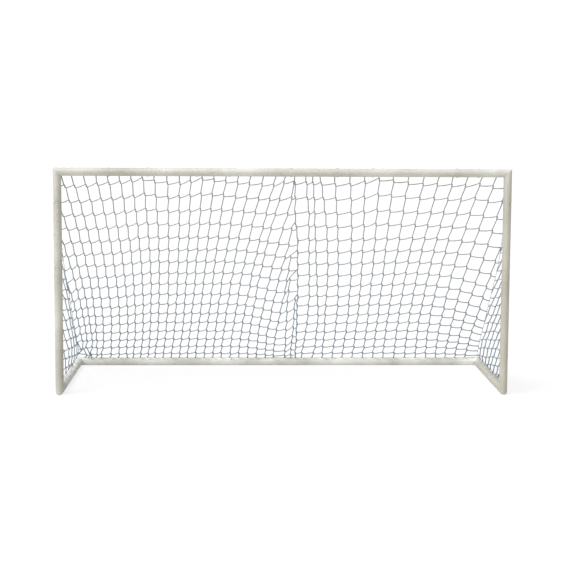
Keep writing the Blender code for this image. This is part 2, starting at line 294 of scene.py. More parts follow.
def frame_matrix(place, x_axis, z_axis):
    """Local X and Z point along two square directions, from a place on the goal."""
    turn = Matrix((x_axis, z_axis.cross(x_axis), z_axis)).transposed()
    return Matrix.Translation(place) @ turn.to_4x4()


def upright(place, axis):
    """Local Z points along a main axis of the goal, from a place."""
    return frame_matrix(place, X if abs(axis.x) < 0.5 else Y, axis)


def add_piece(name, mesh, material, *nodes, body="frame"):
    """A finished piece on its body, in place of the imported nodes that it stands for."""
    piece = add_object(name, mesh)
    mesh.materials.clear()
    mesh.materials.append(material)
    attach(piece, body)
    if nodes:
        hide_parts(*nodes)


def evaluated_mesh(obj):
    bpy.context.view_layer.update()
    return bpy.data.meshes.new_from_object(obj.evaluated_get(bpy.context.evaluated_depsgraph_get()))


def weld(mesh, reach):
    """Join the points of a mesh that lie together, and shade it smooth."""
    bm = bmesh.new()
    bm.from_mesh(mesh)
    bmesh.ops.remove_doubles(bm, verts=bm.verts, dist=reach)
    bmesh.ops.dissolve_degenerate(bm, edges=bm.edges, dist=MERGE)
    bm.to_mesh(mesh)
    bm.free()
    mesh.shade_smooth()


def cut(mesh, cutter_mesh):
    """The mesh with another one taken away from it."""
    body = add_object("body", mesh)
    cutter = add_object("cutter", cutter_mesh)
    difference = body.modifiers.new("cut", "BOOLEAN")
    difference.operation = "DIFFERENCE"
    difference.solver = "EXACT"
    difference.object = cutter
    result = evaluated_mesh(body)
    bpy.data.objects.remove(body)
    bpy.data.objects.remove(cutter)
    weld(result, 10 * MERGE)
    result.set_sharp_from_angle(angle=SMOOTH_BELOW)
    return result


# %% [markdown]
# ## PVC
#
# Extruded and moulded PVC is a satin plastic. New, it is an even warm white, and in use it gets faint
# cloudy stains, fine scratches along the tube and soil near the ground. The colour is mixed from
# noises, and one noise, stretched along the tube, drives the scratches in roughness and bump. The
# pattern reads Object coordinates, so a material is made for each direction that a tube can run in. The
# frame also has painted light and shade in its colour: the rear bar and the left side bar are painted
# paler, as painted light, and the posts and the right side bar are painted duller, as painted shade.
# Each piece notes its painted light and shade in an attribute.

# %% Make the PVC finishes
PVC_CLEAN = (0.665, 0.655, 0.595)
# The paler colour is painted light and the duller one painted shade, given to some pieces by an attribute.
PVC_PAINTED_LIGHT = (0.880, 0.875, 0.820)
PVC_PAINTED_SHADE = (0.530, 0.512, 0.440)
STAIN = (0.400, 0.385, 0.310)
STAIN_SCALE = 2.2
SCRATCH_SCALE = 160
SOIL = (0.300, 0.270, 0.200)
SOIL_SCALE = 14
SOIL_HEIGHT = 0.03
TUBE_GRAIN = 900
FITTING_GRAIN = 500
ALONG = {"x": (0.02, 1, 1), "y": (1, 0.02, 1), "z": (1, 1, 0.02)}
PVC_BUMP = (0.0001, 0.15)
PVC_IOR = 1.52


def new_material(name):
    material = bpy.data.materials.new(name)
    material.use_nodes = True
    return material, material.node_tree, material.node_tree.nodes["Principled BSDF"]


def pvc(name, stretch, grain):
    """White PVC with stains, scratches along the long axis of the piece, soil near the ground, and painted
    light and shade.
    """
    material, tree, shader = new_material(name)
    # Painted light and shade: the attribute makes some pieces paler and others duller.
    light_and_shade = add_node(tree, "Attribute", attribute_name="painted_lightness").outputs["Fac"]
    painted_lightness = add_range(tree, light_and_shade, 0, 1, 0, 1)
    painted_shade = add_range(tree, light_and_shade, -1, 0, 1, 0)
    clouds = add_range(tree, add_noise(tree, STAIN_SCALE, 5), 0.35, 0.75, 0, 1)
    scratches = add_noise(tree, SCRATCH_SCALE, 3, stretch)
    marks = add_range(tree, scratches, 0.60, 0.80, 0, 0.08)
    low = add_range(tree, add_coordinate(tree, "Object", "Z"), 0, SOIL_HEIGHT, 0.25, 0)
    patches = add_range(tree, add_noise(tree, SOIL_SCALE, 6), 0.42, 0.72, 0, 1)
    soiled = add_node(tree, "Math", {0: low, 1: patches}, operation="MULTIPLY").outputs[0]
    colour = add_mix(tree, painted_shade, add_mix(tree, painted_lightness, PVC_CLEAN, PVC_PAINTED_LIGHT), PVC_PAINTED_SHADE)
    for share, other in ((clouds, STAIN), (marks, SOIL), (soiled, SOIL)):
        colour = add_mix(tree, share, colour, other)
    fine = add_bump(tree, add_noise(tree, grain, 2), *PVC_BUMP)
    join(tree, shader, {
        "Base Color": colour,
        "Roughness": add_range(tree, scratches, 0.3, 0.8, 0.34, 0.52),
        "Normal": add_bump(tree, scratches, *PVC_BUMP, Normal=fine),
        "IOR": PVC_IOR,
    })
    return material


TUBE_FINISH = {axis: pvc(f"tube_pvc_{axis}", stretch, TUBE_GRAIN) for axis, stretch in ALONG.items()}
FITTING_FINISH = pvc("fitting_pvc", (1, 1, 1), FITTING_GRAIN)
print("PVC finishes", len(TUBE_FINISH) + 1)

# %% Note the painted light and shade
# The left post gets less painted shade than the right post.
LEFT_POST_SHADE = -0.3


def painted_light_at(place):
    """The painted light of a place of the frame, up to 1, and its painted shade, down to -1."""
    on_side = abs(place.x) > POST_X - TUBE_RADIUS - MERGE
    if place.z > CROSSBAR.z - TUBE_RADIUS or not on_side and place.z > 2 * GROUND_Z + MERGE:
        return 0
    # The rear bar and the left side bar get painted light, the posts and the right side bar painted shade.
    if place.y > REAR_BAR.y - TUBE_RADIUS - MERGE:
        return 1
    if place.y < CROSSBAR.y + TUBE_RADIUS + MERGE:
        return LEFT_POST_SHADE if place.x < 0 else -1
    return 1 if place.x < 0 else -1


def with_painted_light(mesh):
    """Note the painted light and shade of each point of a piece in an attribute."""
    values = [painted_light_at(vertex.co) for vertex in mesh.vertices]
    mesh.attributes.new("painted_lightness", "FLOAT", "POINT").data.foreach_set("value", values)
    return mesh


# %% [markdown]
# ## The locking buttons
#
# Each push-fit joint is held by a sprung button, as on tent poles and camp beds. It is a small domed
# pin of nylon that stands 3 mm proud of the tube. The button is turned first, because the tubes and the
# fittings need a hole at each one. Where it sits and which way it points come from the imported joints.

# %% Find the buttons and their directions
OUTWARDS = {joint["child"]: -Vector(joint["axis"]) for joint in frame["joints"]}
BUTTON_RADIUS = 0.0055
HOLE_PLAY = 0.0004
HOLE_RADIUS = BUTTON_RADIUS + HOLE_PLAY
BUTTON_FLANGE = 0.008
BUTTON_DOME = 0.0020
BUTTON_BASE = 0.002
DOME_STEPS = 12
print("buttons", len(OUTWARDS))


def across(vector, axis):
    """The part of a vector that is square to an axis."""
    return vector - axis * vector.dot(axis)


def reaches(node, direction):
    """How far a node's box reaches along a main axis, at its back and at its front."""
    low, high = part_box(node)
    return sorted((low.dot(direction), high.dot(direction)))


# %% Turn the buttons
def button_mesh(node, outwards):
    bottom, top = reaches(node, outwards)
    shares = [math.sin(math.pi / 2 * step / DOME_STEPS) for step in range(DOME_STEPS + 1)]
    profile = [
        (BUTTON_RADIUS * share, top - BUTTON_DOME * (1 - math.sqrt(max(1 - share * share, 0))))
        for share in shares
    ]
    seat = bottom + BUTTON_BASE
    profile += [(BUTTON_RADIUS, seat), (BUTTON_FLANGE, seat), (BUTTON_FLANGE, bottom), (0, bottom)]
    bm = turned(profile, closed=False)
    bm.transform(upright(across(middle(node), outwards), outwards))
    return to_mesh(bm, node)


# %% [markdown]
# ## Holes for the buttons
#
# A hole goes through one wall only. One cutter holds a short cylinder for each button that a tube or a
# fitting carries, and a Boolean takes them all away at once.

# %% Cut the button holes
HOLE_DEPTH = 0.024


def carries(node, button):
    """Whether the middle of a button lies in a node's box."""
    low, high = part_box(node)
    return all(low[i] - MERGE < value < high[i] + MERGE for i, value in enumerate(middle(button)))


def drilled(mesh, node):
    """The mesh of a node with a hole at each button that it carries."""
    holes = bmesh.new()
    for button in OUTWARDS:
        if carries(node, button):
            bmesh.ops.create_cone(
                holes, cap_ends=True, segments=ROUND_STEPS // 2, radius1=HOLE_RADIUS, radius2=HOLE_RADIUS,
                depth=HOLE_DEPTH, matrix=upright(middle(button), OUTWARDS[button]),
            )
    if holes.verts:
        return cut(mesh, to_mesh(holes, "holes"))
    holes.free()
    return mesh


# %% [markdown]
# ## The tubes
#
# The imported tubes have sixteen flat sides, which is enough for testing but shows at the ends. Here each
# one is spun with 64 steps from the outline of its wall. The rims are softened, because a sawn end is
# chamfered so that the fitting slides in.

# %% Turn the tubes
TUBE_WALL = 0.0025
RIM = 0.0006


def bar_axis(node):
    """The direction of a straight node's longest side."""
    size = extent(node)
    return (X, Y, Z)[max(range(3), key=lambda index: size[index])]


def half_length(node):
    return extent(node).dot(bar_axis(node)) / 2


def along_node(node, profile, rim):
    """An outline turned about a straight node's own line, with soft rims and with holes for its buttons."""
    bm = turned(profile)
    soften(bm, rim)
    bm.transform(upright(middle(node), bar_axis(node)))
    return drilled(to_mesh(bm, node), node)


def tube_mesh(node):
    half = half_length(node)
    bore = TUBE_RADIUS - TUBE_WALL
    return along_node(node, [(TUBE_RADIUS, -half), (TUBE_RADIUS, half), (bore, half), (bore, -half)], RIM)


tubes = [node for node in frame["nodes"] if "_tube_" in node]
for node in tubes:
    letter = "xyz"[(X, Y, Z).index(bar_axis(node))]
    add_piece(node + "_round", with_painted_light(tube_mesh(node)), TUBE_FINISH[letter], node)

# %% [markdown]
# ## Couplers
#
# A coupler is a sleeve inside two tubes. Its thin stop collar shows as a ring between their ends.

# %% Turn the couplers
SPIGOT_WALL = 0.003
SEAT = 0.0003
SPIGOT_RADIUS = TUBE_RADIUS - TUBE_WALL - SEAT
COLLAR_WIDTH = 0.004


def coupler_mesh(node):
    half = half_length(node)
    collar = COLLAR_WIDTH / 2
    bore = SPIGOT_RADIUS - SPIGOT_WALL
    return along_node(node, [
        (SPIGOT_RADIUS, -half), (SPIGOT_RADIUS, -collar), (TUBE_RADIUS, -collar), (TUBE_RADIUS, collar),
        (SPIGOT_RADIUS, collar), (SPIGOT_RADIUS, half), (bore, half), (bore, -half),
    ], RIM / 2)


couplers = [node for node in frame["nodes"] if "_coupler_" in node and not node.startswith("button")]
for node in couplers:
    add_piece(node + "_round", with_painted_light(coupler_mesh(node)), FITTING_FINISH, node)
print("couplers", len(couplers))

# %% [markdown]
# ## Mitred corners
#
# The corner fittings are two arms joined at a mitre. One arm is spun, turned so that the mitre plane is
# square to X, cut there and mirrored, so both arms are alike. The crease of the mitre is then rounded
# by a few millimetres, which is the radius of the mould.

# %% Make the corners
ARM_LENGTH = 0.240
SPIGOT_LENGTH = 0.100
MITRE_ROUND = 0.0025
CREASE = math.radians(12)


def corner_arms(node, corner):
    """The directions of a corner's two arms, from its box."""
    ways = [axis * sign for axis in (X, Y, Z) for sign in (-1, 1)]
    return [way for way in ways if reaches(node, way)[1] - corner.dot(way) > ARM_LENGTH]


def corner_mesh(node, corner):
    first, second = corner_arms(node, corner)
    overrun = 2 * TUBE_RADIUS
    end = ARM_LENGTH + SPIGOT_LENGTH
    bore = SPIGOT_RADIUS - SPIGOT_WALL
    bm = turned([
        (TUBE_RADIUS, -overrun), (TUBE_RADIUS, ARM_LENGTH), (SPIGOT_RADIUS, ARM_LENGTH),
        (SPIGOT_RADIUS, end), (bore, end), (bore, -overrun),
    ])
    soften(bm, RIM)
    to_arm = Matrix.Rotation(math.radians(90), 4, "Y")
    to_mitre = Matrix.Rotation(math.radians(45), 4, "Z")
    bm.transform(to_mitre @ to_arm)
    bmesh.ops.bisect_plane(
        bm, geom=bm.verts[:] + bm.edges[:] + bm.faces[:], dist=MERGE,
        plane_co=(0, 0, 0), plane_no=(1, 0, 0), clear_inner=True,
    )
    bmesh.ops.mirror(bm, geom=bm.verts[:] + bm.edges[:] + bm.faces[:], axis="X", merge_dist=MERGE)
    bmesh.ops.remove_doubles(bm, verts=bm.verts, dist=MERGE)
    bmesh.ops.recalc_face_normals(bm, faces=bm.faces)
    crease = [
        e for e in bm.edges
        if all(abs(v.co.x) < MERGE for v in e.verts) and e.calc_face_angle() > CREASE
        and e.verts[0].co.length > SPIGOT_RADIUS
    ]
    round_off(bm, crease, MITRE_ROUND, 3)
    bm.transform(to_mitre.inverted())
    bm.transform(frame_matrix(corner, first, first.cross(second)))
    return drilled(to_mesh(bm, node), node)


CORNERS = {"top": (CROSSBAR.y, CROSSBAR.z), "foot": (CROSSBAR.y, GROUND_Z), "rear": (REAR_BAR.y, GROUND_Z)}
for side, sign in ENDS:
    for kind, place in CORNERS.items():
        node = f"corner_{kind}_{side}"
        mesh = corner_mesh(node, Vector((POST_X * sign, *place)))
        add_piece(node + "_round", with_painted_light(mesh), FITTING_FINISH, node)
print("corners", len(ENDS) * len(CORNERS))

# %% [markdown]
# ## Nylon
#
# Buttons and clips are moulded in nylon, which is duller than the PVC. The buttons are a little darker than
# the clips.

# %% Make the nylon finish and add the buttons
NYLON_SCALE = 60
NYLON_GRAIN = 1500
NYLON_BUMP = (0.0002, 0.3)


def nylon(name, light, dark):
    material, tree, shader = new_material(name)
    clouds = add_range(tree, add_noise(tree, NYLON_SCALE, 4), 0.3, 0.75, 0, 1)
    join(tree, shader, {
        "Base Color": add_mix(tree, clouds, light, dark),
        "Roughness": add_range(tree, clouds, 0, 1, 0.40, 0.55),
        "Normal": add_bump(tree, add_noise(tree, NYLON_GRAIN, 2), *NYLON_BUMP),
    })
    return material


BUTTON_FINISH = nylon("button_nylon", (0.62, 0.62, 0.57), (0.50, 0.50, 0.45))
CLIP_FINISH = nylon("clip_nylon", (0.70, 0.70, 0.66), (0.58, 0.58, 0.53))
for node, outwards in OUTWARDS.items():
    add_piece(node + "_domed", button_mesh(node, outwards), BUTTON_FINISH, node, body=node)
print("buttons added", len(OUTWARDS))

# %% [markdown]
# ## The net's fall
#
# The net is tied along the crossbar and again along the rear bar, and between them it sags in a shallow
# arc. A share of 0 is at the crossbar and 1 at the rear bar. Its cords hang just behind the tubes,
# where the clips hold them.

# %% Draw the net's fall
CLIP_WALL = 0.0025
CLIP_PLAY = 0.00134
CLIP_OUTER = TUBE_RADIUS + CLIP_PLAY + CLIP_WALL
ROPE_RADIUS = 0.003
HOOK_EASE = 0.0004
CORD_HOLD = CLIP_OUTER + HOOK_EASE + ROPE_RADIUS
DIAGONAL = math.sqrt(0.5)
NET_SAG = 0.180
NET_TOP = Vector((0, CROSSBAR.y + CORD_HOLD, CROSSBAR.z))
NET_FOOT = Vector((0, REAR_BAR.y + CORD_HOLD * DIAGONAL, GROUND_Z + CORD_HOLD * DIAGONAL))
SIDE_NET_X = POST_X + CORD_HOLD * DIAGONAL
SIDE_NET_FRONT = CROSSBAR.y + CORD_HOLD * DIAGONAL
NET_HALF = SIDE_NET_X - 2 * ROPE_RADIUS
NET_CHORD = NET_FOOT - NET_TOP
HALF_TURN = 2 * math.atan(2 * NET_SAG / NET_CHORD.length)
FALL_RADIUS = NET_CHORD.length / 2 / math.sin(HALF_TURN)
FALL_LENGTH = 2 * FALL_RADIUS * HALF_TURN
DOWN = NET_CHORD.normalized()
BELOW = DOWN.cross(X)
FALL_CENTRE = (NET_TOP + NET_FOOT) / 2 - BELOW * FALL_RADIUS * math.cos(HALF_TURN)
print("net is", round(2 * NET_HALF, 3), "m wide and", round(FALL_LENGTH, 3), "m long from bar to bar")


def fall_point(share):
    angle = HALF_TURN * (2 * share - 1)
    return FALL_CENTRE + (DOWN * math.sin(angle) + BELOW * math.cos(angle)) * FALL_RADIUS


def net_place(share, x):
    return fall_point(share) + X * x


def fall_down(share):
    angle = HALF_TURN * (2 * share - 1)
    return DOWN * math.cos(angle) - BELOW * math.sin(angle)


def spread(value, table):
    """Read a value off a table of (place, number) pairs, straight between them and on beyond its ends."""
    pairs = list(zip(table, table[1:]))
    (x0, y0), (x1, y1) = next((pair for pair in pairs if value <= pair[1][0]), pairs[-1])
    return y0 + (y1 - y0) * (value - x0) / (x1 - x0)


# %% [markdown]
# ## Where the mesh columns run
#
# The net is wider than the goal, so it was pushed along the bars until it fitted. Left of the middle
# the columns are closer than on the right, and they all lean inwards on the way down. It is made of two
# panels. The left one was cut askew, so near the middle five of its columns start on the seam with the
# right panel, one below the other. The first two tables give a column's place along the crossbar and
# along the rear bar, and the third how far it leans in between. The columns near the seam have paths of
# their own.

# %% Place the columns
ROWS = 18
COLUMNS = range(-6, 46)
ALONG_CROSSBAR = [
    (-4, -2.220), (-2, -2.030), (-1, -1.945), (0, -1.845), (1, -1.760), (2, -1.660), (5, -1.365),
    (8, -1.070), (10, -0.860), (13, -0.570), (16, -0.260), (18, -0.050), (19, 0.030), (29, 0.425),
    (30, 0.555), (33, 0.920), (36, 1.310), (38, 1.555), (40, 1.790), (43, 2.170),
]
ALONG_REAR_BAR = [
    (-4, -1.850), (-2, -1.785), (-1, -1.750), (0, -1.715), (1, -1.660), (3, -1.505), (4, -1.435),
    (8, -1.165), (12, -0.860), (16, -0.545), (19, -0.295), (29, 0.500), (30, 0.590), (34, 0.980),
    (38, 1.385), (42, 1.750), (43, 1.880),
]
LEAN = [
    (-4, 0.115), (1, 0.120), (3, 0.100), (8, 0.055), (13, -0.005), (19, -0.070), (29, 0.035), (30, 0.030),
    (34, -0.040), (38, -0.105), (43, -0.080),
]
SEAM_COLUMN = 25
PATHS = {
    20: [(0, 0.085), (0.08, 0.085), (0.24, 0), (0.40, -0.080), (0.58, -0.140), (0.78, -0.195), (1, -0.215)],
    21: [
        (0, 0.090), (0.20, 0.090), (0.28, 0.065), (0.44, -0.010),
        (0.60, -0.065), (0.81, -0.120), (1, -0.130),
    ],
    22: [
        (0, 0.095), (0.30, 0.090), (0.44, 0.055), (0.55, 0.035),
        (0.63, 0.005), (0.80, -0.040), (1, -0.055),
    ],
    23: [(0, 0.100), (0.16, 0.090), (0.33, 0.090), (0.58, 0.060), (0.78, 0.055), (1, 0.055)],
    24: [(0, 0.105), (0.20, 0.115), (0.49, 0.130), (0.73, 0.120), (1, 0.110)],
    25: [(0, 0.095), (0.17, 0.105), (0.28, 0.130), (0.48, 0.145), (0.78, 0.150), (1, 0.155)],
    26: [(0, 0.185), (0.17, 0.220), (0.33, 0.230), (0.57, 0.250), (0.80, 0.235), (1, 0.210)],
    27: [(0, 0.245), (0.16, 0.265), (0.40, 0.300), (0.68, 0.335), (0.90, 0.335), (1, 0.310)],
    28: [(0, 0.300), (0.12, 0.345), (0.24, 0.375), (0.40, 0.400), (1, 0.405)],
}
STARTS = {20: 0.05, 21: 0.20, 22: 0.33, 23: 0.42, 24: 0.55}
SEAM_DROP_SHARE = {20: 0, 21: 0.03, 22: 0.12, 23: 0.35, 24: 0.60}


def column_place(column, share):
    if column in PATHS:
        return spread(share, PATHS[column])
    top = spread(column, ALONG_CROSSBAR)
    foot = spread(column, ALONG_REAR_BAR)
    lean = 4 * share * (1 - share) * spread(column, LEAN)
    return top + (foot - top) * share + lean


SEAM_INSET = {
    "left": [(0, 0), (0.20, 0), (0.40, 0.015), (0.55, 0.030), (0.80, 0.034), (0.92, 0.031), (1, 0.006)],
    "right": [(0, 0), (0.40, 0.010), (0.60, 0.035), (0.85, 0.040), (0.95, 0.025), (1, 0)],
}


def seam_x(sign, share):
    """Where the back net's edge runs: a little inside the frame, because the side net draws it in."""
    return sign * (NET_HALF - spread(share, SEAM_INSET["left" if sign < 0 else "right"]))


print("columns", len(COLUMNS), "rows", ROWS + 1)

# %% [markdown]
# ## How the rows hang
#
# Ties hold the net up at a few places along the crossbar, so the first rows run in shallow waves that
# rise to each tie. Towards both ends the weight of the side nets draws the rows down, the left panel
# hangs lower at the seam, and the right one is a little slack. The lift of the ties goes by the place
# along the crossbar, and each other table goes by the row.

# %% Hang the rows
TIE_LIFT = [
    (-1.90, -0.008), (-1.69, -0.005), (-1.52, 0.020), (-1.40, 0.024), (-1.28, 0.036), (-1.15, 0.058),
    (-1.07, 0.040), (-0.95, 0.022), (-0.83, 0.027), (-0.67, 0.062), (-0.54, 0.048), (-0.42, 0.033),
    (-0.29, 0.023), (-0.17, 0.014), (-0.08, 0.010), (0.02, 0.040), (0.10, 0.030), (0.28, 0.027),
    (0.40, 0.018), (0.53, 0.013), (0.65, 0.031), (0.78, 0.066), (0.90, 0.050), (1.02, 0.032),
    (1.14, 0.022), (1.39, 0.013), (1.51, 0.008), (1.62, 0.030), (1.70, 0.005), (1.90, 0),
]
TIE_FADE = [
    (0, 0), (1, 1), (2, 0.82), (3, 0.55), (4, 0.42), (5, 0.22), (8, 0.15), (11, 0.1), (14, 0), (18, 0),
]
LEFT_DROP = [
    (0, 0), (1, 0.004), (2, 0.018), (3, 0.024), (5, 0.038), (8, 0.044), (11, 0.042), (14, 0.030),
    (17, 0.012), (18, 0),
]
LEFT_EDGE_DROP = [(0, 0), (3, 0), (5, 0.015), (8, 0.080), (11, 0.085), (14, 0.100), (17, 0.020), (18, 0)]
RIGHT_DROP = [
    (0, 0), (1, 0.006), (2, 0.020), (3, 0.050), (5, 0.085), (8, 0.185), (11, 0.245), (14, 0.190),
    (17, 0.045), (18, 0),
]
PANEL_DROP = [
    (0, 0), (1, 0), (3, 0.014), (5, 0.045), (8, 0.068), (11, 0.112), (14, 0.140), (16, 0.110),
    (17, 0.060), (18, 0),
]
FOOT_DROP = [(0, 0), (13, 0), (15, 0.012), (16, 0.022), (17, 0.028), (18, 0)]
EDGE_FROM = 1.15
EDGE_WIDTH = 0.74
EDGE_RAMP = 0.45
LAST_EDGE = 0.75
PANEL_WIDTH = 0.45
PANEL_MOST = 1.1
SLACK = 0.022
SLACK_MIDDLE = 0.35
SLACK_HALF = 0.75


def row_drop(column, row, x):
    """How far a knot hangs below its even place, along the net."""
    drop = spread(row, FOOT_DROP) - spread(x, TIE_LIFT) * spread(row, TIE_FADE)
    drop += SLACK * math.sin(math.pi * row / ROWS) * max(1 - ((x - SLACK_MIDDLE) / SLACK_HALF) ** 2, 0)
    left = max(-EDGE_FROM - x, 0) / EDGE_WIDTH
    drop += spread(row, LEFT_DROP) * min(left / EDGE_RAMP, 1)
    drop += spread(row, LEFT_EDGE_DROP) * (max(left - LAST_EDGE, 0) / (1 - LAST_EDGE)) ** 2
    drop += spread(row, RIGHT_DROP) * (max(x - EDGE_FROM, 0) / EDGE_WIDTH) ** 2
    if column < SEAM_COLUMN:
        near = min(max(x + PANEL_WIDTH, 0) / PANEL_WIDTH, PANEL_MOST)
        drop += spread(row, PANEL_DROP) * near ** 2 * (1 - SEAM_DROP_SHARE.get(column, 0))
    return drop


# %% [markdown]
# ## Unrest
#
# No cell of a hanging net is quite like the next, so each knot is shaken a little. In the lower left
# corner the net lies tangled on itself, and its knots are shaken more.

# %% Shake the knots and place them
KNOT_SEED = 11
KNOT_UNREST = 0.003
KNOT_DEPTH = 0.004
TANGLE_ROW = 13
TANGLE_X = -1.40
TANGLE_WIDTH = 0.5
TANGLE_ASIDE = 0.028
TANGLE_DOWN = 0.030
LEAST_CELL = 0.008
SHAKE = random.Random(KNOT_SEED)
SHAKEN = {
    (column, row): (SHAKE.uniform(-1, 1), SHAKE.uniform(-1, 1))
    for column in COLUMNS
    for row in range(ROWS + 1)
}


def knot_place(column, row):
    """A knot of the back net: its share of the fall, its place along X, and its place in the goal."""
    share = row / ROWS
    inner = 0 < row < ROWS
    aside, along = SHAKEN[column, row]
    x = column_place(column, share)
    share = share + row_drop(column, row, x) / FALL_LENGTH
    x = column_place(column, min(share, 1))
    if inner:
        tangled = max(0, (row - TANGLE_ROW) / (ROWS - TANGLE_ROW)) * max(0, (TANGLE_X - x) / TANGLE_WIDTH)
        x += aside * (KNOT_UNREST + TANGLE_ASIDE * tangled)
        share += along * (KNOT_UNREST + TANGLE_DOWN * tangled) / FALL_LENGTH
        share = min(share, 1 - LEAST_CELL * (ROWS - row))
    share = min(max(share, 0), 1)
    deep = KNOT_DEPTH * aside if inner else 0
    normal = X.cross(fall_down(share))
    return share, x, net_place(share, x) - normal * deep


# %% [markdown]
# ## Cords and knots
#
# At each crossing the cord of the row meets the one of the column, which winds once around it, so the
# cells look like rectangles with two cut corners. The net has about eight hundred knots, so each is one
# turn of cord with few sides. Where a cord ends on a rope, a turn of thin cord hitches it there, clear
# of the clips and of the buttons in the crossbar, which face the rope. Cords are curves, because a
# curve takes a list of places and gives a tube; it is then made a mesh.

# %% Make cords from their routes
COLUMN_RADIUS = 0.0052
ROW_RADIUS = 0.0050
LACING_RADIUS = 0.0018
KNOT_WIDTH = 0.010
KNOT_HEIGHT = 0.025
WIND_RADIUS = 0.0042
WIND_STEPS = 6
ROW_SLACK = 0.003
CLIP_ROOM = 0.019
BUTTON_ROOM = 0.022
TAKEN = {
    kind: [(middle(node), CLIP_ROOM) for node in frame["nodes"] if node.startswith(f"clip_{kind}_")]
    for kind in ("crossbar", "rear", "post", "side")
}
TAKEN["crossbar"] += [
    (middle(node), BUTTON_ROOM) for node in OUTWARDS if middle(node).z > CROSSBAR.z - TUBE_RADIUS
]
lacings = []


def cord_mesh(name, routes, radius, resolution):
    """Tubes along lists of points, in one mesh with a UV map that runs along each cord."""
    curve = bpy.data.curves.new(name, "CURVE")
    curve.dimensions = "3D"
    curve.bevel_depth = radius
    curve.bevel_resolution = resolution
    curve.use_fill_caps = True
    for route in routes:
        spline = curve.splines.new("POLY")
        spline.points.add(len(route) - 1)
        for point, place in zip(spline.points, route):
            point.co = (*place, 1)
    carrier = add_object(name, curve)
    mesh = evaluated_mesh(carrier)
    bpy.data.objects.remove(carrier)
    weld(mesh, MERGE)
    mesh.name = name
    return mesh


def winding(start, end, normal, radius=WIND_RADIUS):
    """One turn of cord round the line from one place to another."""
    along = (end - start).normalized()
    side = along.cross(normal)
    turn = []
    for step in range(WIND_STEPS + 1):
        angle = math.tau * step / WIND_STEPS
        offset = normal * math.cos(angle) + side * math.sin(angle)
        turn.append(start.lerp(end, step / WIND_STEPS) + offset * radius)
    return turn


def tie_on(place, rope, normal, kind):
    """Hitch a cord's end to a rope where the clips and the buttons leave room, and give its place."""
    for there, room in TAKEN[kind]:
        gap = (place - there).dot(rope)
        if abs(gap) < room:
            place = place + rope * (math.copysign(room, gap) - gap)
            break
    reach = rope * (COLUMN_RADIUS + 2 * LACING_RADIUS)
    lacings.append(winding(place - reach, place + reach, normal, ROPE_RADIUS + LACING_RADIUS))
    return place


def sagged(start, end):
    """The middle of a slack cord."""
    return (start + end) / 2 - Z * ROW_SLACK


# %% [markdown]
# ## The back net
#
# Each row and each column is one route from knot to knot. Where a row or a column runs out of the
# goal's width, its last cell is cut at the seam, and the cord ends there.

# %% Tie the back net
def started(key):
    column, row = key
    return row / ROWS > STARTS.get(column, -1)


def back_net_routes():
    knots = {key: knot_place(*key) for key in SHAKEN}
    rows = []
    columns = []

    def ends(key):
        """A knot lies along its column, and a little to the right at its lower end."""
        share, _, place = knots[key]
        column, row = key
        above = knots[column, max(row - 1, 0)][2]
        below = knots[column, min(row + 1, ROWS)][2]
        half_knot = (below - above).normalized() * KNOT_HEIGHT / 2 + X * KNOT_WIDTH / 2
        return place - half_knot, place + half_knot, X.cross(fall_down(share))

    def inside(key):
        share, x, _ = knots[key]
        return abs(x) < abs(seam_x(math.copysign(1, x), share)) - KNOT_WIDTH

    def at_seam(key, other):
        """Where a cord from a knot inside to one outside meets the seam."""
        inner, outer = knots[key], knots[other]
        sign = math.copysign(1, outer[1])
        share = (inner[0] + outer[0]) / 2
        part = (seam_x(sign, share) - inner[1]) / (outer[1] - inner[1])
        share = min(max(inner[0] + (outer[0] - inner[0]) * part, 0), 1)
        return net_place(share, seam_x(sign, share))

    for row in range(1, ROWS):
        kept = [column for column in COLUMNS if inside((column, row)) and started((column, row))]
        route = [at_seam((kept[0], row), (kept[0] - 1, row))]
        for column in kept:
            first, last, _ = ends((column, row))
            if column == SEAM_COLUMN:
                share = knots[before, row][0]
                meets = net_place(share, column_place(column, share))
                route += [sagged(route[-1], meets), meets, first, last]
            else:
                route += [sagged(route[-1], first), first, last]
            before = column
        edge = at_seam((kept[-1], row), (kept[-1] + 1, row))
        rows.append(route + [sagged(route[-1], edge), edge])
    for column in COLUMNS:
        route = []
        for row in range(1, ROWS):
            key = (column, row)
            above = (column, row - 1)
            if not started(key):
                continue
            if not inside(key):
                if route:
                    route.append(at_seam(above, key))
                    columns.append(route)
                    route = []
                continue
            if not route:
                if column in STARTS:
                    share = STARTS[column]
                    route = [net_place(share, column_place(SEAM_COLUMN, share))]
                elif row == 1 and inside(above):
                    route = [tie_on(knots[above][2], X, Z, "crossbar")]
                else:
                    route = [at_seam(key, above)]
            first, last, normal = ends(key)
            route += winding(first, last, normal)
        if route:
            foot = (column, ROWS)
            if inside(foot):
                route.append(tie_on(knots[foot][2], X, Z, "rear"))
            else:
                route.append(at_seam((column, ROWS - 1), foot))
            columns.append(route)
    return rows, columns


row_routes, column_routes = back_net_routes()
print("hitches", len(lacings))

# %% [markdown]
# ## Net cord
#
# The cord is twisted from strands of pale polyethylene. Its soft grey is painted shade, standing for the
# shade along the sides of the cord, and patches of dust make it darker here and there. Low down it is
# painted bluer and darker, as painted shade towards the ground. The columns are painted darker and
# bluer than the rows, as painted shade, and the rows paler, as painted light. Fine noise stands for the
# strands and their fluff, in colour, roughness and bump.

